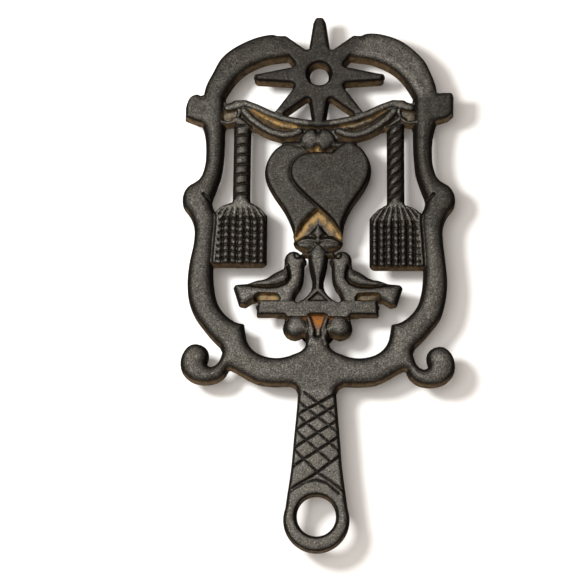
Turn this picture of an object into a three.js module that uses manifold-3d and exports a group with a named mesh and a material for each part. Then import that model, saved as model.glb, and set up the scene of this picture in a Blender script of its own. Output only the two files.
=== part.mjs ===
// Openwork cast-iron trivet with a handle: a star, a draped swag, two brushes, two hearts and two birds
// inside a scrolled rail, standing on four short pegs.
// Millimetres. X across, +Y from the handle toward the star, +Z up, origin under the middle on the table.
import * as THREE from 'three';
import { mergeVertices } from 'three/addons/utils/BufferGeometryUtils.js';
import Module from 'manifold-3d';

const wasm = await Module();
wasm.setup();

const BACK = 13;          // height of the flat back of the casting above the table
const RIM = 6.5;          // thickness of the outer rail, the star and the handle root
const SOFT = 0.9;         // size of the softened upper edge
const GAP = 0.3;          // space left where one region is trimmed by its neighbour
const MIDDLE = (109.7 - 108.8) / 2;  // outlines run from the ring end at -108.8 to the star tip at 109.7
const STEP = 2.0;         // spacing of points along a curved stretch of outline

// ---- outlines: k() is a corner, s() a point on a smooth stretch ---------------------------------
const k = (x, y) => ({ x, y, corner: true });
const s = (x, y) => ({ x, y, corner: false });
const mirror = (pts) => pts.map((p) => ({ ...p, x: -p.x })).reverse();
const lift = (pts, dy) => pts.map((p) => ({ ...p, y: p.y + dy }));

function run(pts) {
  const curve = new THREE.CatmullRomCurve3(
    pts.map((p) => new THREE.Vector3(p.x, p.y, 0)), false, 'centripetal');
  const n = Math.max(2, Math.round(curve.getLength() / STEP));
  return curve.getSpacedPoints(n).map((v) => new THREE.Vector2(v.x, v.y));
}

function trace(pts) {
  const first = pts.findIndex((p) => p.corner);
  const ring = [...pts.slice(first), ...pts.slice(0, first), pts[first]];
  const out = [];
  let part = [ring[0]];
  for (const p of ring.slice(1)) {
    part.push(p);
    if (!p.corner) continue;
    const line = part.length === 2
      ? part.map((q) => new THREE.Vector2(q.x, q.y))
      : run(part);
    out.push(...line.slice(0, -1));
    part = [p];
  }
  return out;
}

// ---- solids -------------------------------------------------------------------------------------
function toSolid(geometry) {
  const g = geometry.clone();
  g.deleteAttribute('normal');
  g.deleteAttribute('uv');
  const m = mergeVertices(g, 1e-4);
  return new wasm.Manifold(new wasm.Mesh({
    numProp: 3,
    vertProperties: new Float32Array(m.attributes.position.array),
    triVerts: new Uint32Array(m.index.array),
  }));
}

function extrude(points, z0, z1, grow = 0) {
  const shape = new THREE.Shape(points);
  const g = new THREE.ExtrudeGeometry(shape, {
    depth: z1 - z0 - 0.02,
    bevelEnabled: true,
    bevelThickness: 0.01,
    bevelSize: 0,
    bevelOffset: grow,
    bevelSegments: 1,
  });
  g.translate(0, 0, z0 + 0.01);
  return toSolid(g);
}

// a flat-backed region of the casting with its upper edge softened all round
function cast(points, height, soft = SOFT) {
  const shape = new THREE.Shape(points);
  const g = new THREE.ExtrudeGeometry(shape, {
    depth: height - soft * 0.8,
    bevelEnabled: true,
    bevelThickness: soft * 0.8,
    bevelSize: soft,
    bevelOffset: -soft,
    bevelSegments: 1,
  });
  g.translate(0, 0, BACK);
  const lower = toSolid(new THREE.BoxGeometry(400, 400, 20).translate(0, 0, BACK - 10));
  return toSolid(g).subtract(lower);
}

function lathe(profile, x, y) {
  const g = new THREE.LatheGeometry(profile.map(([r, z]) => new THREE.Vector2(r, z)), 28);
  g.rotateX(Math.PI / 2);
  g.translate(x, y, 0);
  return toSolid(g);
}

// ---- the outer rail, drawn on the right and mirrored ---------------------------------------------
const archInner = [
  k(38.2, 74.3), s(36.4, 77.6), s(33, 82.4), s(28, 86.6), s(21.5, 90), k(13.2, 91.4),
];
const archLeft = [
  k(17.2, 101.3), s(19.5, 101.7), s(27.5, 99.8), s(37.6, 93.9), s(43.6, 86.2), s(46.8, 79.6),
  k(47.4, 75.9), ...archInner,
];
const archRight = [
  k(17.2, 101.3), s(19.5, 102.1), s(25, 101.8), s(33.4, 98.8), s(41.1, 92.2), s(45.6, 86.1),
  s(47.9, 79.5), k(48, 75.9), ...archInner,
];
const earLeft = [k(48.1, 76.6), s(51, 76.4), s(53.4, 74.6), k(54.6, 71.4), k(54.6, 65.4), k(48.1, 62.8)];
const earRight = [k(48.1, 77.1), k(53.9, 77.1), k(54.9, 76), k(54.6, 67.2), k(52, 64.9), k(48.1, 63.8)];
const sideRail = (belly) => [
  k(38.2, 74), k(47.5, 75.6), k(47.7, 63.6), s(46.4, 58.8), s(45.9, 52.6), s(46.3, 46.4),
  s(48.4, 40.8), s(52.9, 37.7), s(54.9, 34), s(54.4, 28.6), s(51.7, 24.9), s(50, 20.6),
  s(50, 15), s(51 + belly, 5.4), s(51.5 + belly, -2.4), s(50.6 + belly, -10.2), s(48.6, -16.8),
  s(44.8, -22), s(41.4, -26),
  k(38.9, -28.4), k(29.2, -18.6), s(32.2, -18), s(36.3, -15.2), s(39.4, -11), s(41, -5), s(41.6, 2),
  s(41, 14), s(40.6, 25), s(42.6, 30.4), s(41.2, 35), s(39, 42), s(38.1, 50), s(37.9, 62),
];
const lowerRail = [
  k(28.9, -18.9), s(28.5, -22), s(27.4, -26.4), s(24.4, -29.9), s(19.8, -31.8), s(14.5, -32.1),
  k(10.8, -31.2), k(10.8, -44.1), s(17.5, -44.2), s(22.6, -43.6), s(27, -41.8), s(31, -39.4),
  k(34.2, -37.8), k(37.4, -31.2), k(38.6, -28.7),
];
const scrollFoot = [
  k(37.8, -31), s(38.9, -34.4), s(41.4, -36.6), k(43.4, -36.2), s(42.5, -33.2), s(43.3, -29.9),
  s(46, -27.8), s(49.6, -27.6), s(52.6, -30), s(54.2, -34.4), s(53.4, -39.2), s(49.8, -43),
  s(44.2, -44.4), s(38.6, -43.2), s(35.4, -40.2), k(34.5, -37.2),
];
const centerScroll = [
  k(0.15, -26.9), k(0.15, -24.2), s(1.6, -19.8), s(4.4, -16.6), s(8.6, -15.4), s(12.5, -17),
  s(14, -20.6), s(12.7, -24.1), s(9.4, -25.8), s(6.6, -25.1), k(5.2, -24), k(4.4, -26.9),
];

// ---- handle --------------------------------------------------------------------------------------
const RING = { x: 0, y: -95.8, outer: 13, holeTop: 8.4, holeBack: 7.2, holeY: -94.5 };
const rootHalf = [
  k(4.6, -27.2), s(6.6, -29.4), k(10.5, -31), k(10.5, -44.1), s(8.6, -45), k(7.7, -46.8),
];
const gripHalf = [k(7.7, -47.1), s(8.3, -55), s(9.2, -65), s(10, -75), k(11.2, -84.2)];

// ---- ornament ------------------------------------------------------------------------------------
const STAR = { y: 84, arms: 8, valley: 11.3, blunt: 2.1, holeTop: 5.5, holeBack: 3.4 };
const STAR_REACH = { straight: 25.7, side: 26.6, slanted: 24.8, droop: 0.045 };
const swag = [
  k(5.9, 64.9), s(13.5, 66.6), s(21.2, 69.3), s(27, 72.6), s(30.8, 74), k(33.4, 74.1),
  k(32.2, 66), s(29.2, 63.4), s(25.2, 60.2), s(19, 57.2), s(12, 55.9), k(7.9, 56.8), s(6.6, 60),
];
const swagCurl = [
  k(33.7, 74.1), s(36, 73.5), k(38.6, 72.4), k(38.6, 63.4), s(36.4, 62.8), k(35, 63.6), k(35, 65.6),
  k(32.5, 66.2),
];
const bowHalf = [k(3.6, 63.2), s(5.6, 60.8), s(7, 57.4), s(6.9, 54.2), k(5.6, 50)];
const heartFront = [
  k(5.4, 51.8), s(8.2, 54.6), s(12.2, 55.6), s(16.4, 54.4), s(19.6, 51), s(21.3, 46), s(20.9, 41),
  s(18.4, 35.4), s(13.4, 28), s(10.7, 22), k(9.3, 14.8), s(5.4, 21.6), s(1, 26.2),
  s(-4, 30.8), s(-9.6, 36.4), s(-12, 41), s(-11.8, 45.6), s(-9.4, 49.4), s(-5.6, 51.4), s(-1, 52),
];
const heartBack = [
  k(-5.4, 51.8), s(-8.2, 54.6), s(-12.2, 55.6), s(-16.4, 54.4), s(-19.8, 50.8), s(-21.8, 45.4),
  s(-21.4, 40), s(-18.6, 34), s(-13.6, 26.4), s(-10.9, 20.6), k(-9.3, 14.8),
  s(-5.4, 21.6), s(-1, 26.2), k(3, 29), k(3, 46), k(-2, 51),
];
const brushHandle = [
  k(27.3, 29.9), k(34.7, 29.9), k(34.7, 62), s(33.6, 65.2), s(31, 66.4), s(28.4, 65.2), k(27.3, 62),
];
const brushHead = [
  k(20.3, 2.9), k(42, 2.9), k(42, 24.4), s(40.6, 27.2), s(38, 28.9), k(35.2, 29.6), k(26.8, 29.6),
  s(23.4, 28), k(20.3, 24.6),
];
const bird = [
  k(3.8, 6.4), s(6, 9), s(8.6, 10.9), s(11.4, 10.7), s(13.4, 8.6), s(13.6, 5.6), k(13.8, 3.8),
  s(17.8, 1.8), s(21, -0.4), s(24.6, -1.1), k(27.6, -2.2), k(32.8, -2.8), k(33.9, -4), k(31.3, -12.1),
  k(28.6, -12.6), k(23.4, -9.2), k(23.4, -10.9), k(9, -10.9), s(8.7, -8), s(6.6, -5), s(5.5, -1.5), s(5.2, 2),
  k(5.2, 4.4),
];
const postHalf = [
  k(0, 27.2), k(9, 16.4), k(10.2, 14.2), k(9.4, 12.2), k(6.8, 10.4), s(4.4, 9.2), s(4.1, 6.6),
  s(3.4, 2), s(2.4, -2.6), s(3.1, -5.6), k(8.5, -10.9),
];
const baseBar = [k(-24.3, -11.2), k(24.3, -11.2), k(24.3, -16.4), k(-24.3, -16.4)];

const LEGS = {
  leg_upper: { x: 42.4, y: 69 },
  leg_lower: { x: 33, y: -28.5 },
};
const LEG = { tip: 2.6, root: 3.6 };

const twoSided = (half) => trace([...half, ...mirror(half)]);

function starPoints() {
  const out = [];
  for (let i = 0; i < STAR.arms; i += 1) {
    const valley = (i - 0.5) * 2 * Math.PI / STAR.arms;
    out.push(new THREE.Vector2(
      STAR.valley * Math.cos(valley), STAR.y + STAR.valley * Math.sin(valley)));
    let a = i * 2 * Math.PI / STAR.arms;
    let reach = i % 2 ? STAR_REACH.slanted : STAR_REACH.straight;
    if (i === 0 || i === 4) {
      reach = STAR_REACH.side;
      a += i === 0 ? -STAR_REACH.droop : STAR_REACH.droop;
    }
    for (const w of [-STAR.blunt, STAR.blunt]) {
      out.push(new THREE.Vector2(
        reach * Math.cos(a) - w * Math.sin(a), STAR.y + reach * Math.sin(a) + w * Math.cos(a)));
    }
  }
  return out;
}

function ringPoints() {
  const out = [];
  const start = Math.PI / 9;
  const n = 30;
  for (let i = 0; i <= n; i += 1) {
    const a = start - i * (Math.PI + 2 * start) / n;
    out.push(new THREE.Vector2(RING.outer * Math.cos(a), RING.y + RING.outer * Math.sin(a)));
  }
  out.push(new THREE.Vector2(-11.3, -84.5));
  out.push(new THREE.Vector2(11.3, -84.5));
  return out;
}

const taperedHole = (x, y, back, top, height) => lathe(
  [[0, BACK - 1], [back - 0.1, BACK - 1], [top + 0.1, BACK + height + 1], [0, BACK + height + 1]], x, y);

// ---- trims: every region is one column in plan, so a neighbour is cut back by its grown outline ---
const column = (points) => extrude(points, BACK - 1, BACK + 12, GAP);

const front = trace(heartFront);
const back = trace(heartBack);
const swags = { left: trace(mirror(swag)), right: trace(swag) };
const curls = { left: trace(mirror(swagCurl)), right: trace(swagCurl) };
const rails = { left: trace(mirror(sideRail(0.7))), right: trace(sideRail(0)) };
const bow = twoSided(bowHalf);
const post = twoSided(postHalf);
const star = starPoints();
const bar = trace(baseBar);

const starColumn = column(star);
const frontColumn = column(front);
const backColumn = column(back);
const bowColumn = column(bow);
const postColumn = column(post);
const barColumn = column(bar);
const swagColumn = column(swags.left).add(column(swags.right));
const curlColumn = column(curls.left).add(column(curls.right));
const railColumn = column(rails.left).add(column(rails.right));

// ---- relief that is part of the shape of a region ---------------------------------------------------
// a shallow V groove along a straight line on the upper face
function groove(x0, y0, x1, y1, top, width, depth) {
  const a = Math.atan2(y1 - y0, x1 - x0);
  const v = new THREE.Shape([
    new THREE.Vector2(-width / 2, 0.4), new THREE.Vector2(0, -depth), new THREE.Vector2(width / 2, 0.4),
  ]);
  const g = new THREE.ExtrudeGeometry(v, { depth: Math.hypot(x1 - x0, y1 - y0), bevelEnabled: false });
  g.applyMatrix4(new THREE.Matrix4().makeBasis(
    new THREE.Vector3(Math.sin(a), -Math.cos(a), 0),
    new THREE.Vector3(0, 0, 1),
    new THREE.Vector3(-Math.cos(a), -Math.sin(a), 0)));
  g.translate(x1, y1, BACK + top);
  return toSolid(g);
}

function grooves(lines, top, width, depth) {
  return lines
    .map(([x0, y0, x1, y1]) => groove(x0, y0, x1, y1, top, width, depth))
    .reduce((sum, one) => sum.add(one));
}

const GRIP = 6.2;         // thickness of the grip and ring
const crosshatch = [
  [-8.5, -56, 8.5, -46.6], [-9, -61.8, 8.5, -51.2], [-9.5, -69, 9, -57],
  [-10.5, -76.6, 9.5, -63.4], [-12, -85.6, 10, -70.8],
  [-5, -46.8, 8.5, -57], [-8.5, -49.4, 9, -63], [-9, -54.4, 10, -70.6],
  [-9.5, -60.4, 5.4, -73.8], [-10, -68, 0, -77.4], [0, -77.4, 12, -86],
];

const BRUSH = 6.2;        // thickness of the brushes
const BRISTLE = { column: 2.9, row: 2.7 };
function bristleLines(sign, dy) {
  const lines = [];
  for (let i = 1; i < 7; i += 1) {
    const x = sign * (20.6 + i * BRISTLE.column);
    lines.push([x, 1 + dy, x, 24.5 + dy]);
  }
  for (let i = 1; i < 8; i += 1) {
    const y = 3 + dy + i * BRISTLE.row;
    lines.push([sign * 18, y, sign * 44, y]);
  }
  return lines;
}

// the handles of the brushes are roped: steeply on the right, nearly in rings on the left
const TWIST = { pitch: 4.2, right: 3.6, left: 0.6 };
function twistLines(sign) {
  const rise = sign > 0 ? TWIST.right : -TWIST.left;
  const lines = [];
  for (let y = 33; y < 62; y += TWIST.pitch) {
    lines.push([sign * 31 - 4.5, y - rise / 2, sign * 31 + 4.5, y + rise / 2]);
  }
  return lines;
}

// the hollow between the two rolls of the swag
const swagHollow = (sign) => [
  [sign * 9.5, 61, sign * 15, 61.8], [sign * 15, 61.8, sign * 21.5, 64.6],
  [sign * 21.5, 64.6, sign * 28.5, 69.6],
];

// ---- assemble ---------------------------------------------------------------------------------------
const group = new THREE.Group();
const iron = new THREE.MeshStandardMaterial({ color: 0x3a3835, roughness: 0.75, metalness: 0.6 });

function place(name, solid) {
  const m = solid.getMesh();
  const g = new THREE.BufferGeometry();
  g.setAttribute('position', new THREE.BufferAttribute(new Float32Array(m.vertProperties), 3));
  g.translate(0, -MIDDLE, 0);
  g.setIndex(new THREE.BufferAttribute(new Uint32Array(m.triVerts), 1));
  g.computeVertexNormals();
  const mesh = new THREE.Mesh(g, iron);
  mesh.name = name;
  group.add(mesh);
}

const LIFT_LEFT_BRUSH = 1;    // the left brush sits a little higher than the right one
const LIFT_LEFT_FOOT = 0.7;   // and so does the left scroll
for (const side of ['left', 'right']) {
  const own = side === 'right';
  const sign = own ? 1 : -1;
  const pick = (pts) => trace(own ? pts : mirror(pts));
  const brushUp = own ? 0 : LIFT_LEFT_BRUSH;
  place(`arch_${side}`, cast(pick(own ? archRight : archLeft), RIM).subtract(starColumn));
  place(`ear_${side}`, cast(own ? trace(earRight) : trace(mirror(earLeft)), RIM));
  place(`side_rail_${side}`, cast(rails[side], RIM));
  place(`lower_rail_${side}`, cast(pick(lowerRail), RIM));
  place(`scroll_foot_${side}`, cast(pick(lift(scrollFoot, own ? 0 : LIFT_LEFT_FOOT)), RIM)
    .subtract(column(pick(lowerRail))));
  place(`center_scroll_${side}`, cast(pick(centerScroll), 6.3).subtract(barColumn));
  place(`swag_${side}`, cast(swags[side], 6.2).subtract(bowColumn)
    .subtract(grooves(swagHollow(sign), 6.2, 3, 1.4)));
  place(`swag_curl_${side}`, cast(curls[side], 6.2).subtract(railColumn));
  place(`brush_handle_${side}`, cast(pick(lift(brushHandle, brushUp)), BRUSH, 1.2)
    .subtract(swagColumn).subtract(curlColumn)
    .subtract(grooves(twistLines(sign), BRUSH, 1.2, 0.7)));
  place(`brush_head_${side}`, cast(pick(lift(brushHead, brushUp)), BRUSH)
    .subtract(railColumn).subtract(grooves(bristleLines(sign, brushUp), BRUSH, 1.1, 0.7)));
  place(`bird_${side}`, cast(pick(bird), 6).subtract(postColumn).subtract(barColumn));
  for (const [name, leg] of Object.entries(LEGS)) {
    const profile = [[0, 0], [LEG.tip, 0], [LEG.root, BACK - 0.05], [0, BACK - 0.05]];
    place(`${name}_${side}`, lathe(profile, own ? leg.x : -leg.x, leg.y));
  }
}
place('star', cast(star, RIM).subtract(swagColumn).subtract(bowColumn)
  .subtract(taperedHole(0, STAR.y + 0.4, STAR.holeBack, STAR.holeTop, RIM)));
place('bow_knot', cast(bow, 6.2).subtract(frontColumn).subtract(backColumn));
place('heart_front', cast(front, 7.2, 0.6).subtract(swagColumn));
place('heart_back', cast(back, 5.6, 0.6).subtract(frontColumn).subtract(swagColumn));
place('center_post', cast(post, 5.8).subtract(frontColumn).subtract(backColumn));
place('base_bar', cast(bar, 6));
place('handle_root', cast(twoSided(rootHalf), RIM));
place('handle_grip', cast(twoSided(gripHalf), GRIP).subtract(grooves(crosshatch, GRIP, 1.5, 0.8)));
place('hang_ring', cast(ringPoints(), GRIP)
  .subtract(taperedHole(RING.x, RING.holeY, RING.holeBack, RING.holeTop, GRIP)));

export default group;
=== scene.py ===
# Openwork cast-iron trivet with a handle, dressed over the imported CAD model.
# The casting is one rounded, drafted relief. It is worked out as a field of signed distances: each CAD
# region gives its outline in plan, a height map gives its relief, and neighbours flow into one another.
# The field is then meshed and shared out among pieces, one for each CAD region.
# Lengths inside this file are millimetres until they reach Blender, which wants metres.
import math
import bmesh
import bpy
import numpy as np
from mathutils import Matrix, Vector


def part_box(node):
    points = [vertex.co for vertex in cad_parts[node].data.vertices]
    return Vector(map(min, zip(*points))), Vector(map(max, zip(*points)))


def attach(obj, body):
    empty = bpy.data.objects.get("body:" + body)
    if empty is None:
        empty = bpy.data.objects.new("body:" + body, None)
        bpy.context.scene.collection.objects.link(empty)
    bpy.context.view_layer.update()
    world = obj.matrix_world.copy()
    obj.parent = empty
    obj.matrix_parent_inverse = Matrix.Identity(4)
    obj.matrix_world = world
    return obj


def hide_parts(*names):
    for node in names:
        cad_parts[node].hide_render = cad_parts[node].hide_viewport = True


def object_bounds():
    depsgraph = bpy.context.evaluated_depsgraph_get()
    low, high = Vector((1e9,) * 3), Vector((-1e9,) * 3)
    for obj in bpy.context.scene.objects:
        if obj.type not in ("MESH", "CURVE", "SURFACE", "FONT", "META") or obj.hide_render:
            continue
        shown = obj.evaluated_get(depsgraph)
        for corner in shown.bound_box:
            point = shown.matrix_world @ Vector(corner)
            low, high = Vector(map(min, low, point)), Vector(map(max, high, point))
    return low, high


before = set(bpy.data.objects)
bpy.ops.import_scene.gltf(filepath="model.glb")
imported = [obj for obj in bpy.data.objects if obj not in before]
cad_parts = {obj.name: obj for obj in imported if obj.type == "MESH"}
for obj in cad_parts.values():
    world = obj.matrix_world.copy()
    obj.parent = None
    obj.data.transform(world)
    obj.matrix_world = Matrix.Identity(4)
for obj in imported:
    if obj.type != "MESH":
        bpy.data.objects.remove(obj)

import openvdb
from mathutils import Matrix, Vector

CAD_BOX = [[float(c) for c in corner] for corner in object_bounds()]
MM = 0.001

# ---- camera --------------------------------------------------------------------------------------
CAMERA_AT = (0.01124, -0.15656, 0.6720)
CAMERA_RIGHT = (0.99945, 0.01033, -0.03151)
CAMERA_UP = (-0.00301, 0.97458, 0.22404)
CAMERA_BACK = (0.03303, -0.22382, 0.97407)
SENSOR_WIDTH = 36
FOCAL_LENGTH = 105.52
NEAR_CLIP = 0.01


def place_camera():
    data = bpy.data.cameras.new("camera")
    data.sensor_width = SENSOR_WIDTH
    data.lens = FOCAL_LENGTH
    data.clip_start = NEAR_CLIP
    camera = bpy.data.objects.new("camera", data)
    axes = Matrix((CAMERA_RIGHT, CAMERA_UP, CAMERA_BACK)).transposed().to_4x4()
    camera.matrix_world = Matrix.Translation(CAMERA_AT) @ axes
    bpy.context.scene.collection.objects.link(camera)
    bpy.context.scene.camera = camera


place_camera()

# ---- the grid that the casting is worked out on ----------------------------------------------------
VOXEL = 0.25
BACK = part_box("side_rail_right")[0].z / MM          # height of the flat back of the casting
MARGIN = 1.5              # of the grid round the CAD box
X = np.arange(CAD_BOX[0][0] / MM - MARGIN, CAD_BOX[1][0] / MM + MARGIN, VOXEL, dtype=np.float32)
Y = np.arange(CAD_BOX[0][1] / MM - MARGIN, CAD_BOX[1][1] / MM + MARGIN, VOXEL, dtype=np.float32)
Z = np.arange(BACK - 1, CAD_BOX[1][2] / MM + 1, VOXEL, dtype=np.float32)
SHAPE = (len(X), len(Y))
PX = X[:, None]
PY = Y[None, :]
REACH = 6.0               # distances in plan are cut off here
INSET = 0.06              # keeps the rounded casting just inside the CAD box
DRAFT = math.tan(math.radians(10))
COS_DRAFT = math.cos(math.atan(DRAFT))
CAP_LEVEL = 0.5           # above the back, where the casting is at its widest
LEGS = [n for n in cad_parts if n.startswith("leg_")]
PLATES = sorted(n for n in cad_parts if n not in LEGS)


def span(axis, low, high, pad):
    """the part of an axis between low and high, with a margin"""
    first = int((low - pad - axis[0]) / VOXEL)
    last = int((high + pad - axis[0]) / VOXEL) + 2
    return slice(max(first, 0), min(last, len(axis)))


def distance_to(edges, reach=REACH):
    """distance in plan from each cell to the nearest edge"""
    d = np.full(SHAPE, reach, np.float32)
    for (x0, y0), (x1, y1) in edges:
        i = span(X, min(x0, x1), max(x0, x1), reach)
        j = span(Y, min(y0, y1), max(y0, y1), reach)
        ex = x1 - x0
        ey = y1 - y0
        gx = X[i, None] - x0
        gy = Y[None, j] - y0
        t = np.clip((gx * ex + gy * ey) / max(ex * ex + ey * ey, 1e-9), 0, 1)
        d[i, j] = np.minimum(d[i, j], np.hypot(gx - t * ex, gy - t * ey))
    return d


def signed_distance(edges):
    """distance in plan to a closed outline, negative inside it"""
    d = distance_to(edges)
    low = edges[:, :, 1].min()
    high = edges[:, :, 1].max()
    for j in range(*span(Y, low, high, 0).indices(len(Y))):
        crossing = edges[(edges[:, 0, 1] > Y[j]) != (edges[:, 1, 1] > Y[j])]
        if len(crossing) == 0:
            continue
        a = crossing[:, 0]
        b = crossing[:, 1]
        cut = a[:, 0] + (Y[j] - a[:, 1]) / (b[:, 1] - a[:, 1]) * (b[:, 0] - a[:, 0])
        inside = np.searchsorted(np.sort(cut), X) % 2 == 1
        d[inside, j] *= -1
    return d


def outline(node):
    """edges in plan of the flat underside of a CAD node"""
    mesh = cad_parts[node].data
    co = np.empty(len(mesh.vertices) * 3, np.float32)
    mesh.vertices.foreach_get("co", co)
    co = co.reshape(-1, 3) / MM
    triangles = np.array([p.vertices[:] for p in mesh.polygons])
    under = (co[triangles][:, :, 2] < BACK + 0.005).all(axis=1)
    points, index = np.unique(np.round(co[:, :2], 3), axis=0, return_inverse=True)
    t = index.reshape(-1)[triangles[under]]
    edges = {tuple(e) for e in np.concatenate([t[:, [0, 1]], t[:, [1, 2]], t[:, [2, 0]]])}
    return points[np.array([e for e in edges if e[::-1] not in edges])]


def contour(d, level):
    """edges of a level line of a map in plan"""
    v = d - level
    found = []
    owner = []
    cells = np.arange((SHAPE[0] - 1) * (SHAPE[1] - 1)).reshape(SHAPE[0] - 1, SHAPE[1] - 1)
    for ax, ay, bx, by in ((0, 0, 1, 0), (0, 1, 1, 1), (0, 0, 0, 1), (1, 0, 1, 1)):
        a = v[ax:SHAPE[0] - 1 + ax, ay:SHAPE[1] - 1 + ay]
        b = v[bx:SHAPE[0] - 1 + bx, by:SHAPE[1] - 1 + by]
        i, j = np.nonzero((a > 0) != (b > 0))
        t = a[i, j] / (a[i, j] - b[i, j])
        found.append(np.stack([X[i + ax] + t * (bx - ax) * VOXEL, Y[j + ay] + t * (by - ay) * VOXEL], 1))
        owner.append(cells[i, j])
    found = np.concatenate(found)
    owner = np.concatenate(owner)
    order = np.argsort(owner, kind="stable")
    found = found[order]
    owner = owner[order]
    pair = np.nonzero(owner[:-1] == owner[1:])[0]
    return np.stack([found[pair], found[pair + 1]], 1)


def redistance(d, level=0.0):
    """true signed distance in plan to a level line of a map"""
    near = distance_to(contour(d, level))
    return np.where(d < level, -near, near)


def soften(d, corner, nook=0.5):
    """the same outline with its corners and then its inner corners rounded"""
    d = redistance(d, -corner) - corner
    return redistance(d, nook) + nook


# ---- ways to combine and to draw -------------------------------------------------------------------
def smooth_min(a, b, k):
    """the lesser of two fields, with a fillet of size k between them"""
    h = np.maximum(k - np.abs(a - b), 0) / k
    return np.minimum(a, b) - h * h * k * 0.25


def smooth_max(a, b, k):
    return -smooth_min(-a, -b, k)


def round_max(a, b, r):
    """the stricter of two fields, with the edge between them rounded to radius r"""
    u = np.maximum(a + r, 0)
    v = np.maximum(b + r, 0)
    return np.minimum(np.maximum(a, b), -r) + np.sqrt(u * u + v * v)


def step(x, low, high):
    """0 at low and 1 at high, with a smooth passage between them"""
    t = np.clip((x - low) / (high - low), 0, 1)
    return t * t * (3 - 2 * t)


def hill(d, width):
    """1 at no distance, falling off over a width"""
    return np.exp(-(d / width) ** 2)


SHIFT = -0.45             # relief is drawn from the same base line as the CAD outlines


def stroke(points, sign=1):
    """distance in plan to a line drawn through points, mirrored when sign is -1"""
    p = np.array(points, np.float32) * (sign, 1) + (0, SHIFT)
    return distance_to(np.stack([p[:-1], p[1:]], 1))


def spot(x, y, rx, ry):
    """1 at the centre of an ellipse, falling off around it"""
    return np.exp(-((PX - x) / rx) ** 2 - ((PY - y - SHIFT) / ry) ** 2)


def value_noise(pitch, seed):
    """smooth random undulation in plan, between -1 and 1"""
    rng = np.random.default_rng(seed)
    nx = int((X[-1] - X[0]) / pitch) + 3
    ny = int((Y[-1] - Y[0]) / pitch) + 3
    lattice = rng.uniform(-1, 1, (nx, ny)).astype(np.float32)
    u = (X - X[0]) / pitch
    v = (Y - Y[0]) / pitch
    i = u.astype(int)
    j = v.astype(int)
    s = step(u - i, 0, 1)[:, None]
    t = step(v - j, 0, 1)[None, :]
    near = lattice[i][:, j] * (1 - s) + lattice[i + 1][:, j] * s
    far = lattice[i][:, j + 1] * (1 - s) + lattice[i + 1][:, j + 1] * s
    return near * (1 - t) + far * t


# ---- plan of every region --------------------------------------------------------------------------
plan = {name: signed_distance(outline(name)) for name in PLATES}
label = np.argmin(np.stack([plan[n] for n in PLATES]), axis=0)

CLOSE = 0.3               # half of the widest gap that is closed between parts of the outer rail
RIM_KINDS = ("arch", "ear", "side_rail", "lower_rail", "scroll_foot", "center_scroll")


def kind_of(name):
    """the kind of a region: its name without the side, and one kind for all of the outer rail"""
    kind = name.removesuffix("_left").removesuffix("_right")
    return "rim" if kind in RIM_KINDS or name in ("handle_root", "handle_grip", "hang_ring") else kind


KINDS = {}
for name in PLATES:
    KINDS.setdefault(kind_of(name), []).append(name)
kind_plan = {k: np.minimum.reduce([plan[n] for n in names]) for k, names in KINDS.items()}

# near its top end the casting is a little fuller than the CAD outlines, up to the ends of the star's points
ARCH_FULLER = 0.9
ARCH_FROM_TO = (84, 92)
STAR_FULLER = 0.45
STAR_FROM_TO = (88, 94)
MIDDLE_POINT_END = 109.1
SLANTED_POINT_END = 101.2
MIDDLE_POINT_HALF = 9
kind_plan["rim"] = redistance(kind_plan["rim"], CLOSE) + CLOSE - ARCH_FULLER * step(PY, *ARCH_FROM_TO)
kind_plan["star"] = kind_plan["star"] - STAR_FULLER * step(PY, *STAR_FROM_TO)
point_end = np.where(np.abs(PX) > MIDDLE_POINT_HALF, SLANTED_POINT_END, MIDDLE_POINT_END)
kind_plan["star"] = np.maximum(kind_plan["star"], PY - point_end)

# how each kind of region runs on into the neighbours that it was cast in one with: how far it sinks there
RUNS_INTO = {
    "rim": {"star": 0.0, "base_bar": 2.5},
    "star": {"swag": 1.2, "bow_knot": 0.8},
    "swag": {"swag_curl": 0.0, "bow_knot": 0.3},
    "swag_curl": {"rim": 0.3, "swag": 0.0},
    "bow_knot": {"swag": 0.8, "heart_front": 1.5, "heart_back": 1.5},
    "heart_front": {"swag": 3.6},
    "heart_back": {"heart_front": 0.0, "swag": 2.4, "bow_knot": 1.0},
    "center_post": {"heart_front": 0.0, "heart_back": 0.0, "base_bar": 0.0},
    "bird": {"base_bar": 0.0},
    "base_bar": {"center_post": 0.0, "bird": 0.0, "rim": 2.5},
    "brush_handle": {"swag": 1.2, "swag_curl": 1.2, "brush_head": 0.0},
    "brush_head": {"rim": 0.6, "brush_handle": 0.0},
}
USUAL_OVERRUN = 2.2       # how far the region is carried on
OVERRUN = {"rim": 4.0, "star": 3.0}
OVERLAP = 0.35            # how far outside the neighbour's outline a run-on may lie
SINK_FROM_TO = (-0.2, 0.6)
USUAL_CORNER = 0.6        # rounding of corners in plan
CORNER = {"star": 1.9, "brush_head": 2.2, "rim": 0.7, "bird": 0.8, "swag": 0.5, "swag_curl": 0.5}


def run_on(kind):
    """outline of a kind of region, run on into its neighbours, and how far it sinks there"""
    d = kind_plan[kind]
    sink = np.zeros(SHAPE, np.float32)
    for other, depth in RUNS_INTO[kind].items():
        near = kind_plan[other]
        d = np.minimum(d, np.maximum(kind_plan[kind] - OVERRUN.get(kind, USUAL_OVERRUN), near - OVERLAP))
        sink = np.maximum(sink, depth * step(-near, *SINK_FROM_TO))
    return soften(redistance(d), CORNER.get(kind, USUAL_CORNER)), sink


run_plan = {kind: run_on(kind) for kind in KINDS}

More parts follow.
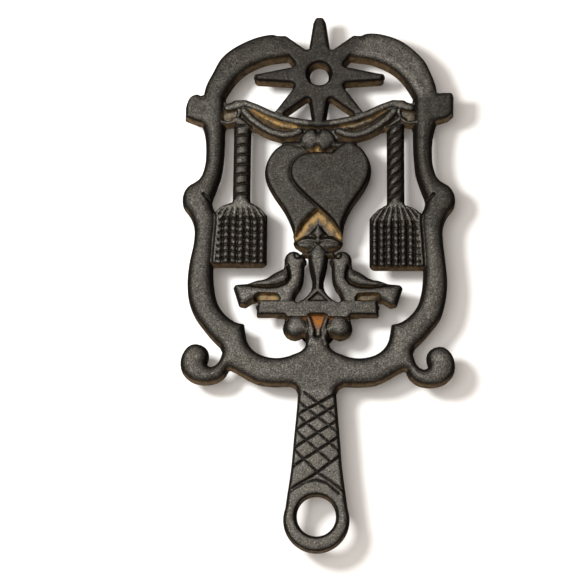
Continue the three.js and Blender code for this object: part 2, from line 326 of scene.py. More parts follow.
# ---- relief: height above the back, and rounding of the upper edge, for each kind of region ----------
RIGHT = PX > 0
AX = np.abs(PX)                       # across, the same on both sides
AY = PY - SHIFT                       # along, from the base line of the CAD outlines
WAVES = [(0.10, 7.0, 3), (0.06, 2.4, 5)]      # undulation of every top: amplitude, pitch and seed
wave = sum(tall * value_noise(pitch, seed) for tall, pitch, seed in WAVES)
height = {}
edge = {}
groove_shade = np.zeros(SHAPE)                # painted shade, black, in the cut grooves, added kind by kind


def both(points):
    """distance in plan to a line drawn on the right and mirrored on the left"""
    return np.minimum(stroke(points, 1), stroke(points, -1))


def sided(right, left):
    """one value on the right of the object and another on the left"""
    return np.where(RIGHT, right, left)


def flat_top(top):
    """the same height all over"""
    return np.full(SHAPE, top, np.float32)


def blend_by_region(values, default):
    """a map that takes each named region's value inside it and passes smoothly between them"""
    total = np.full(SHAPE, 1e-3, np.float32) * default
    weight = np.full(SHAPE, 1e-3, np.float32)
    for name, value in values.items():
        w = hill(np.maximum(plan[name], 0), 1.2)
        total += w * value
        weight += w
    return total / weight


# the outer rail and the handle
RIM_TOP = dict.fromkeys(KINDS["rim"], 6.45) | {"handle_grip": 6.15, "hang_ring": 6.15}
RIM_EDGE = dict.fromkeys(KINDS["rim"], 3.5) | {
    "ear_left": 1.6, "ear_right": 1.3, "arch_left": 3.1, "arch_right": 3.1,
    "handle_root": 2.6, "handle_grip": 1.0, "hang_ring": 1.5,
}
LATTICE = [
    [(-8.5, -56), (8.5, -46.6)], [(-9, -61.8), (8.5, -51.2)], [(-9.5, -69), (9, -57)],
    [(-10.5, -76.6), (9.5, -63.4)], [(-12, -85.6), (-2, -79.6), (10, -70.8)],
    [(-5, -46.8), (8.5, -57)], [(-8.5, -49.4), (9, -63)], [(-9, -54.4), (10, -70.6)],
    [(-9.5, -60.4), (5.4, -73.8)], [(-10, -68), (0, -77.4)], [(-0.5, -77.2), (12, -86)],
    [(-10, -85.2), (-4, -81.6), (0, -80.8), (4, -82), (8.6, -86)],
]
FALLING_CUT = 0.8                     # depth of the cuts that fall to the right, against those that rise
KNEE_CREASE = [(42.2, 29.6), (44.4, 31.8), (46.0, 33.4)]
SCROLL_SLIT = [(5.9, -26.4), (5.1, -23.6), (4.7, -21.8), (4.9, -20.4)]
BALL_X = 8.8
BALL_Y = -20.8
BALL_RADIUS = 5.6


def lattice_cuts():
    """depth and painted shade of the grooves that cross on the grip and leave pillowed lozenges"""
    depth = np.zeros(SHAPE, np.float32)
    shade_in_grooves = np.zeros(SHAPE, np.float32)
    for line in LATTICE:
        d = stroke(line)
        strength = 1.0 if line[-1][1] > line[0][1] else FALLING_CUT
        depth = smooth_max(depth, strength * (0.75 * hill(d, 0.42) + 0.3 * hill(d, 1.4)), 0.1)
        shade_in_grooves = np.maximum(shade_in_grooves, strength * hill(d, 0.3))
    return depth, shade_in_grooves


def rim_relief():
    """rounded rails, creased knees, the grip's lattice and its painted shade, and the balls of the centre
    scrolls
    """
    top = blend_by_region(RIM_TOP, 6.4)
    depth, shade_in_grooves = lattice_cuts()
    top -= depth * step(-kind_plan["rim"], 0.3, 1.2)
    top -= 1.1 * hill(both(KNEE_CREASE), 0.55)
    top -= 3.6 * hill(both(SCROLL_SLIT), 0.5)
    ball = np.hypot(AX - BALL_X, AY - BALL_Y)
    dome = 6.1 - 0.04 * ball ** 2 - 2.4 * step(AY, -17.4, -15.9)
    top += (dome - top) * step(BALL_RADIUS - ball, 0, 0.8)
    return top, shade_in_grooves


height["rim"], cut_shade = rim_relief()
edge["rim"] = blend_by_region(RIM_EDGE, 2.6)
groove_shade += cut_shade

# the star and the two hearts, which drop to a ledge under the bow
height["star"] = flat_top(6.4)
edge["star"] = 1.2
height["heart_front"] = (7.05 - 2.6 * step(AY, 54.2, 55.2) + 0 * AX).astype(np.float32)
edge["heart_front"] = 1.2
height["heart_back"] = (5.5 - 1.8 * step(AY, 53.8, 54.8) + 0 * AX).astype(np.float32)
edge["heart_back"] = 1.5

# the centre post and the bar under it
SPINDLE_HALF = 3.5
SPINDLE_TIP = 12.9
LEAF_X = 4.3
LEAF_Y = 13.3
LEAF_HALF_WIDTH = 4.4
LEAF_HALF_LENGTH = 2.5
KNOT_Y = 14.0
FINIAL_TIP = 21.4
FLARE_AT = [14.6, 15.6, 17.4, FINIAL_TIP]
FLARE = [1.6, 0.9, 2.4, 0.15]
COLLAR_LINE = [(0.5, 14.2), (3, 15.0), (6, 14.7), (8.2, 13.4)]
COLLAR_VEIN = [(1.6, 13.4), (4, 13.8), (6.8, 13.0)]
FOOT_EDGE = [(8.4, -11.9), (0, -4.6)]
COLLAR_FROM = 12.4                    # above here the post is its collar and finial
FOOT_FROM = -5.4                      # below here it is its pierced foot


def centre_post_relief():
    """a spindle, a collar of two leaves, a finial inside the V of the hearts and a pierced foot"""
    tapered = SPINDLE_HALF - 0.2 * np.clip(8 - AY, 0, 11)
    rounded = SPINDLE_HALF * np.sqrt(np.clip((SPINDLE_TIP - AY) / 4, 0.01, 1))
    spindle = 5.9 - 1.5 * (AX / np.minimum(rounded, tapered)) ** 2
    leaf_y = AY - LEAF_Y + 0.1 * (AX - LEAF_X)
    leaf = np.hypot((AX - LEAF_X) / LEAF_HALF_WIDTH, leaf_y / LEAF_HALF_LENGTH)
    collar = 5.5 - 1.5 * leaf ** 2 + 0.5 * hill(both(COLLAR_LINE), 0.6) - 0.5 * hill(both(COLLAR_VEIN), 0.5)
    knot = 6.0 - 1.1 * np.hypot(AX, AY - KNOT_Y)
    flare = np.interp(AY, FLARE_AT, FLARE)
    finial = np.where((AY > KNOT_Y) & (AY < FINIAL_TIP), 5.6 - 1.3 * (AX / flare) ** 2, 0)
    arrow = np.where(AY > 12.5, 3.2 - 1.2 * step(AX + 0.92 * (AY - 16.0), 4.2, 5.2), 0)
    upper = np.maximum(np.maximum(collar, finial), np.maximum(knot, arrow))
    post = np.where(AY > COLLAR_FROM, upper, np.maximum(spindle, collar))
    foot = 5.8 - 1.9 * step(both(FOOT_EDGE), 1.2, 1.8)
    post = np.where(AY < FOOT_FROM, foot, post)
    return np.clip(post, 2.0, 5.8).astype(np.float32)


height["center_post"] = centre_post_relief()
edge["center_post"] = 1.3
height["base_bar"] = flat_top(5.9)
edge["base_bar"] = 0.9

# low grounds of the bow and of the swag, with a thin lip in the swag. Dome and rolls are added further down
SWAG_LIP = [(8.0, 60.9), (14.5, 61.3), (20.5, 63.7), (26.0, 67.6), (30.5, 71.0)]
height["bow_knot"] = flat_top(3.6)
edge["bow_knot"] = 1.0
height["swag"] = (3.5 + 1.7 * hill(both(SWAG_LIP), 0.5)).astype(np.float32)
edge["swag"] = 0.9
height["swag_curl"] = flat_top(3.6)
edge["swag_curl"] = 0.8

# the two brushes
HANDLE_X = 31.0
HANDLE_END = (29, 31)                 # between these the rope passes into the brush head
TUFT_WIDTH = 2.87
TUFT_LENGTH = 2.7
FIRST_COLUMN = 20.9
FIRST_ROW = 3.4
LEFT_LIFT = 1.0                       # the left head sits higher


def handle_relief():
    """roped rods, nearly ringed on the left and steep on the right, and the painted shade in their seams"""
    across = AX - HANDLE_X
    pitch = sided(4.2, 4.1)
    turns = sided(AY - 0.6 * across, AY + 0.10 * across - 0.8) / pitch
    seam = np.abs(turns - np.rint(turns)) * pitch
    second = np.abs(turns + 0.2 - np.rint(turns + 0.2)) * pitch
    rope = 6.15 - sided(1.1, 0.9) * hill(seam, 0.45) - sided(0.5, 0.3) * hill(seam, 1.3)
    rope = rope - sided(0.5, 0.0) * hill(second, 0.35)
    roped = step(AY, *HANDLE_END)
    shade_in_grooves = 0.5 * hill(seam, 0.3) * step(-kind_plan["brush_handle"], 0.2, 0.8) * roped
    return (rope * roped + 6.0 * (1 - roped)).astype(np.float32), shade_in_grooves


def head_relief():
    """rows of bristle tufts inside a smooth edge, fluted at the shoulders, and the painted shade between them
    """
    y = AY - sided(0.0, LEFT_LIFT)
    fan = 1 + sided(1.1, 0.9) * (np.clip(y - 20.5, 0, 9) / 9) ** 2
    u = ((AX - HANDLE_X) * fan + HANDLE_X - FIRST_COLUMN) / TUFT_WIDTH
    v = (y - FIRST_ROW) / TUFT_LENGTH + 0.14 * np.sin(np.floor(u) * 2.4) + 0.06 * np.sin(u * 9.0)
    tuft_u = np.abs(np.sin(math.pi * u)) ** 0.8
    tuft_v = np.abs(np.sin(math.pi * v)) ** 0.6
    rows = step(sided(23.0, 24.3) - y, 0, 1.2)
    depth_u = sided(1.7, 1.4) * (1 - 0.35 * (1 - rows))
    depth_v = sided(1.0, 1.2) * rows
    shoulder = sided(step(29.4 - y, 0, 2.5), step(27.6 - y, 0, 1.6))
    inset = step(-kind_plan["brush_head"], 0.2, 1.0) * shoulder
    sill = 0.35 * hill(y - 24.6, 0.5) * sided(0, 1)
    head = 5.95 - inset * (depth_u * (1 - tuft_u) + depth_v * (1 - tuft_v) + sill)
    shade_in_grooves = 0.45 * inset * rows * (1 - tuft_u) * (AY < 30)
    return head.astype(np.float32), shade_in_grooves


height["brush_handle"], seam_shade = handle_relief()
edge["brush_handle"] = 2.9
height["brush_head"], tuft_shade = head_relief()
edge["brush_head"] = 1.2
groove_shade += seam_shade + tuft_shade

# the two birds
EYE_X = 8
EYE_Y = 8.4
EYE_RING = 1.3
WING_GROOVE = [
    (12.2, 4.2), (11.3, 1.6), (11.2, -0.8), (12.6, -2.8), (15.5, -4.1), (20, -4.6), (25, -4.1), (29, -3.1),
]
WING_RIDGE = [(13.8, -0.6), (18.5, -2.2), (23, -2.7)]
LEG_HOLLOW = [(17.0, -9.4), (22.8, -9.2)]


def bird_relief():
    """a ring eye, a raised wing with a groove round it and a hollow behind the leg, and painted shade in the
    groove and round the eye
    """
    wing = both(WING_GROOVE)
    eye = np.hypot(AX - EYE_X, AY - EYE_Y)
    bird = 5.6 - 1.6 * hill(wing, 0.5) - 0.5 * hill(wing, 1.4)
    bird = bird - 0.8 * hill(eye - EYE_RING, 0.32) + 0.2 * hill(eye, 0.5)
    bird = bird + 0.7 * hill(both(WING_RIDGE), 1.5)
    bird = bird - (bird - 2.4) * step(2.5 - both(LEG_HOLLOW), 0, 0.8)
    return bird.astype(np.float32), 0.9 * hill(wing, 0.5) + 0.8 * hill(eye - EYE_RING, 0.3)


height["bird"], bird_shade = bird_relief()
edge["bird"] = 2.6
groove_shade += bird_shade

# ---- the field of the whole casting -----------------------------------------------------------------
OUTSIDE = 3.0                         # value of the field well away from the casting
NEARBY = 2.5                          # how far from its outline a region is worked out
FILLET = 0.5
LID_SINK = 0.12                       # keeps the undulating tops below their nominal height
END_GAP = 0.1                         # from the casting's top end to the CAD box
field = np.full(SHAPE + (len(Z),), OUTSIDE, np.float32)


def add_region(d, top, radius, fillet):
    """joins one drafted region with a rounded upper edge to the casting"""
    i = np.nonzero((d < NEARBY).any(axis=1))[0]
    j = np.nonzero((d < NEARBY).any(axis=0))[0]
    w = np.s_[i[0]:i[-1] + 1, j[0]:j[-1] + 1]
    side = (d[w][..., None] + INSET + DRAFT * (Z - BACK)) * COS_DRAFT
    lid = Z - BACK - (top[w] + wave[w] - LID_SINK)[..., None]
    r = radius[w][..., None] if isinstance(radius, np.ndarray) else radius
    field[w] = smooth_min(field[w], round_max(side, lid, r), fillet)


def join(kind):
    """joins one kind of region, sunk where it runs on into its neighbours"""
    d, sink = run_plan[kind]
    d = np.maximum(d, PY - (CAD_BOX[1][1] / MM - END_GAP))
    add_region(d, height[kind] - sink, edge[kind], FILLET)


join("rim")
for kind in KINDS:
    if kind != "rim":
        join(kind)

# full rounds along a line: the line, half its width at the back, its height and the rounding of its edge.
# The rolls of the swag meet in the middle and curl up at the ends
SWAG_HIGH = [(0, 63.0), (4, 63.4), (8, 63.9), (14, 65.2), (20, 67.4), (25.5, 70.1), (30, 71.8), (33.6, 71.6)]
HOOK = [(31.0, 71.4), (33.6, 70.7), (35.6, 70.2), (37.0, 69.9)]
SWAG_LOW = [(8.0, 60.0), (11, 58.8), (14.5, 58.4), (19, 59.7), (23.5, 62.2), (27.5, 65.3), (30.3, 68.6)]
CURL_SILL = [
    (32.4, 69.2), (32.4, 67.2), (33.4, 65.2), (35.0, 64.0), (37.0, 63.6), (39.2, 64.1), (40.6, 64.9),
]
ROLLS = [
    (SWAG_HIGH, 2.4, 6.2, 1.5), (HOOK, 2.5, 6.1, 1.3), (SWAG_LOW, 2.4, 6.0, 1.5), (CURL_SILL, 1.5, 5.2, 0.8),
]
ROLL_FILLET = 0.3
for line, half, tall, radius in ROLLS:
    add_region(both(line) - half, flat_top(tall), radius, ROLL_FILLET)

# a thin web of metal closes the corner between the stems of the centre scrolls and the bar
WEB = [(-5.4, -15.5), (5.4, -15.5), (0, -29.0), (-5.4, -15.5)]
WEB_TOP = 3.2
web_points = np.array(WEB, np.float32) + (0, SHIFT)
web = signed_distance(np.stack([web_points[:-1], web_points[1:]], 1))
add_region(web, flat_top(WEB_TOP), 0.8, FILLET)

# bow: a dome with two lobes, a notch above and a small hollow below
BOW_X = -0.4
BOW_Y = 56.4
BOW_HALF_WIDTH = 8.0
BOW_HALF_LENGTH = 6.0
BOW_TOP = 6.1
SWELLING_FILLET = 0.4
bow = (np.hypot((PX - BOW_X) / BOW_HALF_WIDTH, (AY - BOW_Y) / BOW_HALF_LENGTH) - 1) * BOW_HALF_LENGTH
notch = 2.6 * spot(BOW_X, 60.8, 1.3, 2.2) + 2.6 * spot(-0.6, 52.2, 1.4, 1.8) + 0.25 * hill(PX - BOW_X, 0.7)
add_region(bow, BOW_TOP - notch, 2.4, SWELLING_FILLET)

# small swellings, written like the rolls: stems of the centre scrolls, beaks on the post, the end of the
# left arch, the root of the left ear, the overlap of the hearts, and their shoulders beside the bow
SWELLINGS = [
    (both([(3.5, -17.2), (2.9, -19.3), (2.0, -21.8), (2.3, -24.4), (3.2, -27.5)]), 1.8, 5.8, 1.2),
    (both([(3.0, 8.9), (5.8, 9.2)]), 1.2, 4.6, 1.0),
    (stroke([(-27.2, 96.6), (-22.1, 99.0), (-17.0, 100.0), (-13.5, 99.6)]), 1.7, 6.3, 1.4),
    (stroke([(-49.8, 73.6), (-45.2, 74.6)]), 2.0, 6.0, 1.6),
    (stroke([(-9.6, 44.0), (-10.3, 38.5), (-8.2, 32.0)]), 1.3, 5.2, 0.8),
    (stroke([(-13.6, 54.0), (-7.0, 54.2)]), 2.2, 5.0, 1.4),
    (stroke([(14.0, 54.2), (6.6, 54.4)]), 2.2, 5.2, 1.4),
]
for d, half, tall, radius in SWELLINGS:
    add_region(d - half, flat_top(tall), radius, SWELLING_FILLET)

# tapered holes of the star and of the ring: place, radius at the back and at the top, height of the top
HOLES = [(0, 84.4, 3.4, 5.4, 6.4), (0, -94.5, 7.2, 8.3, 6.1)]
HOLE_EDGE = 0.7
BACK_EDGE = 0.5
BAND = 1.5                            # the field is cut off this far from the skin
for x, y, back, top, tall in HOLES:
    i = span(X, x, x, top + 4)
    j = span(Y, y + SHIFT, y + SHIFT, top + 4)
    around = np.hypot(X[i, None] - x, Y[None, j] - y - SHIFT)[..., None]
    wide = back + (top - back) * np.clip((Z - BACK) / tall, 0, 1.2) ** 1.3
    field[i, j] = round_max(field[i, j], wide - around, HOLE_EDGE)

under = np.broadcast_to(BACK - Z, field.shape)
field = np.clip(round_max(field, under, BACK_EDGE), -BAND, BAND)

# ---- mesh of the casting, shared out among the regions -----------------------------------------------
grid = openvdb.FloatGrid(BAND)
grid.copyFromArray(np.ascontiguousarray(field))
points, quads = grid.convertToQuads(0.0)
quads = np.asarray(quads, np.int64)
points = np.asarray(points, np.float64) * VOXEL + (X[0], Y[0], Z[0])


def face_normals(p, q):
    """normals of four-sided faces, longer for larger faces"""
    return np.cross(p[q[:, 2]] - p[q[:, 0]], p[q[:, 3]] - p[q[:, 1]])


def vertex_sum(values, q, count):
    """for each vertex the sum of the values of the faces around it"""
    return np.stack([
        sum(np.bincount(q[:, c], values[:, a], count) for c in range(4)) for a in range(values.shape[1])], 1)


normals = vertex_sum(face_normals(points, quads), quads, len(points))
normals /= np.linalg.norm(normals, axis=1)[:, None] + 1e-12


def neighbour_mean(values):
    """mean over the corners of the faces around each vertex"""
    total = vertex_sum(values[quads].sum(1), quads, len(points))
    return total / (4 * np.bincount(quads.ravel(), minlength=len(points)))[:, None]


# how proud (+) or sunken (-) the surface is at each vertex
SMOOTHINGS = 3
curve = ((points - neighbour_mean(points)) * normals).sum(1)[:, None] / (VOXEL * VOXEL)
for _ in range(SMOOTHINGS):
    curve = neighbour_mean(curve)
curve = curve[:, 0]


def sample(values, p):
    """value of a map in plan under each point"""
    i = np.clip(np.rint((p[:, 0] - X[0]) / VOXEL).astype(int), 0, SHAPE[0] - 1)
    j = np.clip(np.rint((p[:, 1] - Y[0]) / VOXEL).astype(int), 0, SHAPE[1] - 1)
    return values[i, j]


# ochre dirt in the hollows of the swag, behind the birds' legs, in the V of the hearts and under the bow
SWAG_HOLLOW = [(9, 62.2), (15, 62.9), (21.0, 65.4), (26.5, 68.9)]
CURL_HOLLOW = [(35.4, 66.2), (38.4, 66.8)]
BIRD_HOLLOW = [(17.4, -9.0), (21.6, -8.6)]
HEART_V = [(-8.2, 16.4), (-4.4, 21.2), (0, 25.6), (4.4, 21.2), (8.6, 16.4)]
OCHRE_SIDES = [(-1, 1.0, 1.3, 1.0), (1, 0.55, 0.8, 0.45)]      # side, in the swag, its width, at the birds
ochre = hill(stroke(HEART_V), 1.35)
ochre += 0.9 * spot(-0.4, 52.4, 1.6, 1.2) + 0.4 * spot(-3.6, 51.8, 1.3, 0.8)
for sign, in_swag, width, at_bird in OCHRE_SIDES:
    ochre += in_swag * hill(stroke(SWAG_HOLLOW, sign), width)
    ochre += 0.25 * in_swag * hill(stroke(CURL_HOLLOW, sign), 1.6)
    ochre += 0.8 * at_bird * hill(stroke(BIRD_HOLLOW, sign), 1.9)

# orange rust on the web between the centre scrolls
rust = 1.1 * spot(0, -18.0, 2.4, 2.4) + 0.6 * spot(-4.5, -16.6, 3.0, 1.0) + 0.4 * spot(5, -16.6, 3.0, 1.0)

# how light each region is painted, part patina and part the light and shade that falls on its top: the star,
# the hearts and the right ear are painted darkest
USUAL_TONE = 0.95
TONE = {
    "star": 0.45, "swag_left": 1.45, "swag_right": 1.45, "swag_curl_left": 1.3, "swag_curl_right": 1.2,
    "arch_left": 0.7, "arch_right": 1.2, "ear_left": 0.8, "ear_right": 0.3,
    "side_rail_left": 0.85, "side_rail_right": 0.65, "lower_rail_left": 1.05, "lower_rail_right": 1.05,
    "handle_root": 0.9, "scroll_foot_left": 0.95, "scroll_foot_right": 0.85, "handle_grip": 1.6,
    "hang_ring": 1.3, "heart_front": 0.5, "heart_back": 0.65, "brush_head_left": 1.4, "brush_head_right": 1.3,
    "brush_handle_left": 1.0, "brush_handle_right": 0.8, "bird_left": 1.3, "bird_right": 1.1,
    "center_scroll_left": 1.4, "center_scroll_right": 1.2, "base_bar": 0.85, "center_post": 0.95,
}
# the lower part of the right rail is painted lighter still
lower_right = RIGHT * (AX > 30) * step(-kind_plan["rim"], -0.5, 0.5) * step(PY, 30, 0)
tone = blend_by_region(TONE, USUAL_TONE) + 0.45 * lower_right

above = points[:, 2] - BACK
low_wall = step(np.abs(normals[:, 2]), 0.85, 0.4) * step(above, 5.6, 3.6)
vertex_data = {
    "ochre": np.clip(sample(ochre, points) * (1 - step(above, 4.4, 5.8)), 0, 1),
    "rust": np.clip(sample(rust, points) * (1 - step(above, 4.6, 5.6)), 0, 1),
    # steepness of the surface, which the material darkens as painted shade on the walls
    "wall": np.clip(1 - np.abs(normals[:, 2]), 0, 1),
    # painted light: low walls that face the front are painted a lit brown
    "lit_wall": step(-normals[:, 1], 0.25, 0.9) * low_wall,
    # curvature: proud edges are rubbed lighter, sunken places get painted shade
    "wear_and_shade": np.clip(curve * 1.2, -1, 1),
    # painted light and shade of each region's top, with its patina
    "tone": sample(tone, points),
    # painted shade in the grooves, on faces that look upwards
    "groove_shade": np.clip(sample(groove_shade, points), 0, 1) * step(normals[:, 2], 0.2, 0.5),
}
face_label = sample(label, points[quads].mean(1))

def build_piece(name, p, q, n, data):
    """one closed piece: its share of the skin, with upright walls inside the metal where it joins others"""
    mesh = bpy.data.meshes.new(name)
    mesh.from_pydata(p * MM, [], q)
    bm = bmesh.new()
    bm.from_mesh(mesh)
    rim_of_piece = [e for e in bm.edges if e.is_boundary]
    curtain = bmesh.ops.extrude_edge_only(bm, edges=rim_of_piece)["geom"]
    for v in curtain:
        if isinstance(v, bmesh.types.BMVert):
            v.co.z = (BACK + CAP_LEVEL) * MM
    open_edges = [e for e in bm.edges if e.is_boundary]
    caps = bmesh.ops.holes_fill(bm, edges=open_edges, sides=0)["faces"]
    bmesh.ops.triangulate(bm, faces=caps)
    bm.to_mesh(mesh)
    bm.free()
    extra = len(mesh.vertices) - len(p)
    n = np.concatenate([n, np.tile((0.0, 0.0, 1.0), (extra, 1))])
    for key, values in data.items():
        values = np.concatenate([values, np.zeros(extra)]).astype(np.float32)
        mesh.attributes.new(key, "FLOAT", "POINT").data.foreach_set("value", values)
    mesh.shade_smooth()
    mesh.normals_split_custom_set_from_vertices(n)
    piece = bpy.data.objects.new(name, mesh)
    bpy.context.scene.collection.objects.link(piece)
    return piece


pieces = []
for k, name in enumerate(PLATES):
    own = quads[face_label == k]
    used, q = np.unique(own, return_inverse=True)
    data = {key: values[used] for key, values in vertex_data.items()}
    piece = build_piece("cast_" + name, points[used], q.reshape(-1, 4), normals[used], data)
    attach(piece, "root")
    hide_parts(name)
    pieces.append(piece)

# ---- legs --------------------------------------------------------------------------------------------
LEG_SIDES = 40
LEG_TIP = [(1.3, 0.0), (1.9, 0.1), (2.3, 0.4), (2.5, 0.9)]      # radius and height
TAPER_RINGS = 12
TAPER_TALL = 10.6
FIRST_SEED = 11


def leg_profile(root):
    """radius and height of each ring of a leg: a rounded tip, a long taper and a root inside the casting"""
    tip_r, tip_z = LEG_TIP[-1]
    taper = [
        (tip_r + (root - 0.4 - tip_r) * t, tip_z + TAPER_TALL * t) for t in np.linspace(0.1, 1, TAPER_RINGS)]
    return LEG_TIP + taper + [(root - 0.25, 12.1), (root - 0.08, 12.6), (root - 0.02, BACK - 0.05)]


def build_leg(name, seed):
    """one lathed leg, slightly out of round"""
    low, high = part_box(name)
    cx = (low.x + high.x) / 2 / MM
    cy = (low.y + high.y) / 2 / MM
    profile = leg_profile((high.x - low.x) / 2 / MM)
    phase = np.random.default_rng(seed).uniform(0, 6.28, 3)
    a = np.arange(LEG_SIDES) * 2 * math.pi / LEG_SIDES
    p = []
    for r, z in profile:
        lump = 1 - 0.012 * (1 + np.sin(2 * a + phase[0])) - 0.01 * (1 + np.sin(3 * a + z * 0.7 + phase[1]))
        p.append(np.stack([cx + r * lump * np.cos(a), cy + r * lump * np.sin(a), np.full(LEG_SIDES, z)], 1))
    p = np.concatenate(p + [np.array([[cx, cy, 0.0], [cx, cy, profile[-1][1]]])])
    faces = []
    for k in range(len(profile) - 1):
        ring = k * LEG_SIDES
        for i in range(LEG_SIDES):
            j = (i + 1) % LEG_SIDES
            faces.append((ring + i, ring + j, ring + LEG_SIDES + j, ring + LEG_SIDES + i))
    base = len(profile) * LEG_SIDES
    top = base - LEG_SIDES
    for i in range(LEG_SIDES):
        j = (i + 1) % LEG_SIDES
        faces.append((base, j, i))
        faces.append((base + 1, top + i, top + j))
    mesh = bpy.data.meshes.new("cast_" + name)
    mesh.from_pydata(p * MM, [], faces)
    mesh.shade_smooth()
    leg = bpy.data.objects.new("cast_" + name, mesh)
    bpy.context.scene.collection.objects.link(leg)
    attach(leg, "root")
    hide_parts(name)
    return leg


pieces += [build_leg(name, FIRST_SEED + k) for k, name in enumerate(sorted(LEGS))]


# ---- materials ---------------------------------------------------------------------------------------
class Shader:
    """short helpers for one node tree"""

    def __init__(self, name):
        self.material = bpy.data.materials.new(name)
        self.material.use_nodes = True
        self.tree = self.material.node_tree
        self.bsdf = self.tree.nodes["Principled BSDF"]
        self.place = self.tree.nodes.new("ShaderNodeTexCoord").outputs["Object"]

    def link(self, source, target):
        """feeds a socket from another one, or sets it to a number or a colour"""
        if isinstance(source, bpy.types.NodeSocket):
            self.tree.links.new(source, target)
        else:
            target.default_value = source

    def noise(self, size, detail, rough=0.6):
        """noise with grains of a size in millimetres"""
        node = self.tree.nodes.new("ShaderNodeTexNoise")
        node.inputs["Scale"].default_value = 1 / (size * MM)
        node.inputs["Detail"].default_value = detail
        node.inputs["Roughness"].default_value = rough
        self.link(self.place, node.inputs["Vector"])
        return node.outputs["Fac"]

    def math(self, kind, a, b=0.0, clamp=False):
        node = self.tree.nodes.new("ShaderNodeMath")
        node.operation = kind
        node.use_clamp = clamp
        self.link(a, node.inputs[0])
        self.link(b, node.inputs[1])
        return node.outputs[0]

    def ramp(self, value, low, high, to_low=0.0, to_high=1.0):
        """smooth passage from to_low to to_high while the value goes from low to high"""
        node = self.tree.nodes.new("ShaderNodeMapRange")
        node.interpolation_type = "SMOOTHSTEP"
        for key, v in zip(("Value", "From Min", "From Max", "To Min", "To Max"),
                          (value, low, high, to_low, to_high)):
            self.link(v, node.inputs[key])
        return node.outputs["Result"]

    def mix(self, factor, a, b):
        node = self.tree.nodes.new("ShaderNodeMix")
        node.data_type = "RGBA"
        self.link(factor, node.inputs["Factor"])
        self.link(a, node.inputs["A"])
        self.link(b, node.inputs["B"])
        return node.outputs["Result"]

    def attribute(self, name):
        node = self.tree.nodes.new("ShaderNodeAttribute")
        node.attribute_name = name
        return node.outputs["Fac"]

    def bump(self, height, strength, distance, normal=None):
        node = self.tree.nodes.new("ShaderNodeBump")
        node.inputs["Strength"].default_value = strength
        node.inputs["Distance"].default_value = distance * MM
        self.link(height, node.inputs["Height"])
        if normal is not None:
            self.link(normal, node.inputs["Normal"])
        return node.outputs["Normal"]


IRON_DARK = (0.068, 0.066, 0.062, 1)
IRON_LIGHT = (0.125, 0.122, 0.110, 1)
BROWN_FILM = (0.080, 0.066, 0.052, 1)
BRIGHT_GRAIN = (0.270, 0.260, 0.228, 1)
SAND_PIT = (0.015, 0.013, 0.011, 1)
RUBBED_EDGE = (0.160, 0.152, 0.130, 1)
# the colours from here to the groove black paint light and shade: the darkest patina also carries painted
# shade, walls, hollows and grooves get painted shade, and low front walls a painted lit brown
PATINA_AND_SHADE = (0.010, 0.009, 0.008, 1)
WALL_SHADE_BLACK = (0.008, 0.006, 0.005, 1)
LIT_WALL_BROWN = (0.105, 0.068, 0.032, 1)
HOLLOW_SHADE = (0.008, 0.006, 0.004, 1)
GROOVE_SHADE_COLOR = (0.006, 0.005, 0.004, 1)
OCHRE = (0.31, 0.20, 0.075, 1)
RUST = (0.27, 0.095, 0.012, 1)
METAL = 0.85


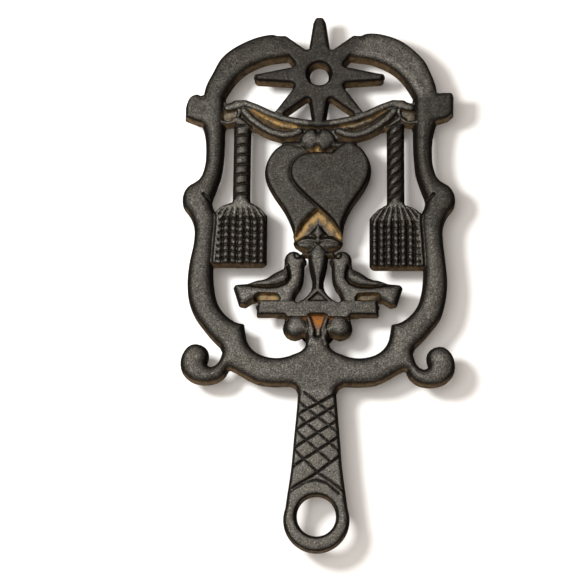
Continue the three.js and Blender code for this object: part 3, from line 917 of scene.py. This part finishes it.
def cast_iron():
    """sandy black iron; the attributes of the pieces say where it is worn or dirty, and where light and shade
    are painted into its colour: walls, hollows, grooves, lit front walls and each region's tone
    """
    s = Shader("cast_iron")
    broad = s.noise(11.0, 2.0)
    patch = s.noise(2.4, 4.0, 0.65)
    grain = s.noise(0.7, 4.0, 0.85)
    sand = s.noise(0.45, 2.0, 0.7)
    wall = s.ramp(s.attribute("wall"), 0.03, 0.42)
    wear_and_shade = s.attribute("wear_and_shade")
    tone = s.attribute("tone")
    color = s.mix(s.ramp(patch, 0.32, 0.68), IRON_DARK, IRON_LIGHT)
    color = s.mix(s.ramp(broad, 0.35, 0.75, 0.0, 0.5), color, BROWN_FILM)
    color = s.mix(s.ramp(grain, 0.50, 0.62, 0.0, 0.85), color, BRIGHT_GRAIN)
    color = s.mix(s.ramp(sand, 0.48, 0.34, 0.0, 0.9), color, SAND_PIT)
    color = s.mix(s.ramp(wear_and_shade, 0.15, 0.8, 0.0, 0.3), color, RUBBED_EDGE)
    # painted shade with the patina: regions of low tone are darkened
    color = s.mix(s.ramp(tone, 1.4, 0.4, 0.0, 0.72), color, PATINA_AND_SHADE)
    # painted shade: steep walls darkened nearly to black
    color = s.mix(s.math("MULTIPLY", wall, 0.92), color, WALL_SHADE_BLACK)
    # painted light: low front-facing walls painted a lit brown instead of the shaded black
    lit_wall = s.math("MULTIPLY", s.attribute("lit_wall"), s.ramp(patch, 0.25, 0.65, 0.35, 1.0), clamp=True)
    color = s.mix(lit_wall, color, LIT_WALL_BROWN)
    # painted shade: sunken places darkened nearly to black
    color = s.mix(s.ramp(wear_and_shade, -0.12, -0.7, 0.0, 0.85), color, HOLLOW_SHADE)
    # painted shade: grooves, rope seams, gaps between tufts, the wing groove and the eye ring darkened nearly
    # to black
    color = s.mix(s.ramp(s.attribute("groove_shade"), 0.15, 0.8, 0.0, 0.92), color, GROOVE_SHADE_COLOR)
    dusty = s.math("MULTIPLY", s.attribute("ochre"), s.ramp(patch, 0.36, 0.56, 0.25, 1.0), clamp=True)
    color = s.mix(dusty, color, OCHRE)
    rusty = s.math("MULTIPLY", s.attribute("rust"), s.ramp(patch, 0.34, 0.54, 0.4, 1.0), clamp=True)
    color = s.mix(rusty, color, RUST)
    s.link(color, s.bsdf.inputs["Base Color"])
    dull = s.math("MAXIMUM", s.math("MAXIMUM", dusty, rusty), lit_wall)
    s.link(s.math("SUBTRACT", METAL, dull, clamp=True), s.bsdf.inputs["Metallic"])
    rough = s.ramp(grain, 0.35, 0.65, 0.56, 0.40)
    rough = s.math("ADD", rough, s.ramp(tone, 0.4, 1.0, -0.08, 0.02))
    rough = s.math("ADD", rough, s.math("MULTIPLY", s.math("MAXIMUM", dull, wall), 0.35), clamp=True)
    s.link(rough, s.bsdf.inputs["Roughness"])
    s.bsdf.inputs["Specular IOR Level"].default_value = 0.3
    s.bsdf.inputs["Specular Tint"].default_value = (0.25, 0.24, 0.22, 1)
    normal = s.bump(patch, 0.4, 0.3)
    normal = s.bump(grain, 0.9, 0.30, normal)
    normal = s.bump(sand, 0.6, 0.12, normal)
    s.link(normal, s.bsdf.inputs["Normal"])
    return s.material


iron = cast_iron()
for piece in pieces:
    piece.data.materials.append(iron)


# ---- floor -------------------------------------------------------------------------------------------
PAPER_DARK = (0.86, 0.86, 0.86, 1)
PAPER_LIGHT = (0.90, 0.90, 0.895, 1)
FLOOR = 3.0               # metres from the middle to each side


def paper():
    s = Shader("paper")
    shade = s.ramp(s.noise(60.0, 3.0), 0.3, 0.7)
    s.link(s.mix(shade, PAPER_DARK, PAPER_LIGHT), s.bsdf.inputs["Base Color"])
    s.bsdf.inputs["Roughness"].default_value = 0.9
    s.bsdf.inputs["Specular IOR Level"].default_value = 0.1
    return s.material


floor_mesh = bpy.data.meshes.new("floor")
floor_mesh.from_pydata(
    [(-FLOOR, -FLOOR, 0), (FLOOR, -FLOOR, 0), (FLOOR, FLOOR, 0), (-FLOOR, FLOOR, 0)], [], [(0, 1, 2, 3)])
floor = bpy.data.objects.new("floor", floor_mesh)
bpy.context.scene.collection.objects.link(floor)
floor.data.materials.append(paper())

# ---- light -------------------------------------------------------------------------------------------
# name, place and size in metres, power and colour
SOFTBOXES = [
    ("overhead", (-0.15, -0.12, 0.85), 0.42, 2.8, (1.0, 0.97, 0.93)),
    ("key", (-0.18, 0.03, 0.36), 0.09, 1.75, (1.0, 0.985, 0.96)),
]
SKY_COLOR = (1.0, 0.88, 0.79, 1)
SKY_STRENGTH = 0.42


def softbox(name, at, size, power, color):
    """a round light that looks at the middle of the object"""
    light = bpy.data.lights.new(name, "AREA")
    light.shape = "DISK"
    light.size = size
    light.energy = power
    light.color = color
    lamp = bpy.data.objects.new(name, light)
    lamp.location = at
    lamp.rotation_euler = (-Vector(at)).to_track_quat("-Z", "Y").to_euler()
    bpy.context.scene.collection.objects.link(lamp)


for box in SOFTBOXES:
    softbox(*box)
world = bpy.data.worlds.new("world")
world.use_nodes = True
background = world.node_tree.nodes["Background"]
background.inputs["Color"].default_value = SKY_COLOR
background.inputs["Strength"].default_value = SKY_STRENGTH
bpy.context.scene.world = world
bpy.context.scene.view_settings.view_transform = "Standard"
bpy.context.scene.view_settings.exposure = 0.0
